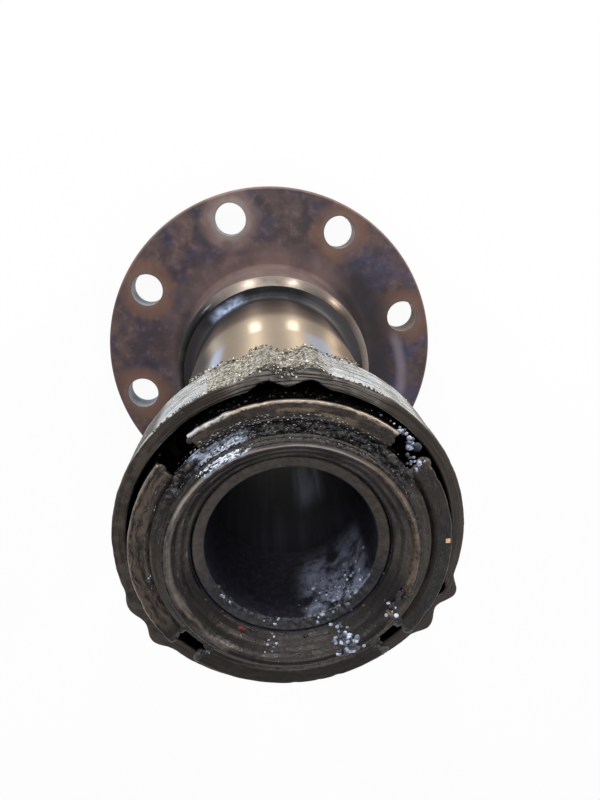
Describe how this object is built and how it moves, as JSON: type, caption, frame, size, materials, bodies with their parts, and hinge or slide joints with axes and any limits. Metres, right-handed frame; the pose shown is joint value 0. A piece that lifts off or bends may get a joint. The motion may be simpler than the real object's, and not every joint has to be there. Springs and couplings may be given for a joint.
{
  "type": "front axle spindle",
  "caption": "Hollow front axle spindle with a drilled round flange, seal land, bearing journal, slotted lock nut in a lobed retainer cup, and bushes in its through bore.",
  "frame": {"origin": "centre of the pilot boss's end face, on the spindle's centre line, which is what the part stands on", "axes": "+Z along the centre line from the flange to the threaded nose; the first bolt hole lies 17.3 degrees from +X towards +Y; +Y points towards the top of the picture"},
  "size_m": [0.14, 0.14, 0.1805],
  "materials": {
    "spindle_steel": "machined steel, heat-tinted and dull on the flange, polished on the land and journal",
    "cup_steel": "worn steel under greenish grey grease and grit",
    "nut_steel": "dark greasy steel with worn tan edges",
    "washer_steel": "plain oily steel",
    "bush_bronze": "dull oiled bronze",
    "seal_rubber": "matte black"
  },
  "bodies": {
    "root": {"spindle": "spindle_steel", "retainer_cup": "cup_steel", "lock_nut": "nut_steel", "adjusting_nut": "nut_steel", "nut_pin": "washer_steel", "lock_washer": "washer_steel", "nose_bush": "bush_bronze", "rear_bush": "bush_bronze", "shaft_seal": "seal_rubber"}
  },
  "joints": []
}
